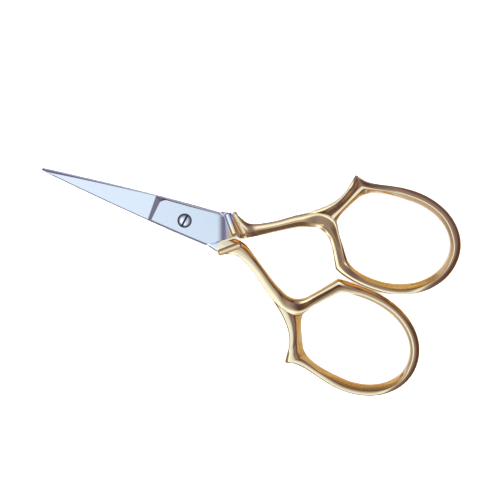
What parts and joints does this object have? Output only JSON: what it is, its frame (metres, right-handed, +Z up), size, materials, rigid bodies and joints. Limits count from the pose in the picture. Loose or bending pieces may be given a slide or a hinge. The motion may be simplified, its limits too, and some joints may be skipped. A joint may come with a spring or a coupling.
{
  "type": "embroidery scissors",
  "caption": "Small needlework scissors with slim pointed steel blades on a slotted pivot screw and gilt handles with ringed collars, pointed finials and egg-shaped finger bows.",
  "frame": {"origin": "under the middle of the closed scissors, on the surface that they lie on", "axes": "+X from the blade tips to the finger bows, +Y from the back half's bow to the front half's bow, +Z up out of the face with the screw head"},
  "size_m": [0.0888, 0.0448, 0.0033],
  "materials": {
    "bright_steel": "mirror-polished nickel-plated steel",
    "gold_plate": "polished gold plate over steel",
    "screw_steel": "turned and lightly polished steel"
  },
  "bodies": {
    "back_half": {"back_blade": "bright_steel", "back_handle": "gold_plate", "pivot_screw": "screw_steel"},
    "front_half": {"front_blade": "bright_steel", "front_handle": "gold_plate"}
  },
  "joints": [
    {"name": "pivot", "type": "hinge", "parent": "back_half", "child": "front_half", "pos_m": [-0.01237, -0.00061, 0.00165], "axis": [0, 0, 1], "range_deg": [0, 80]}
  ]
}
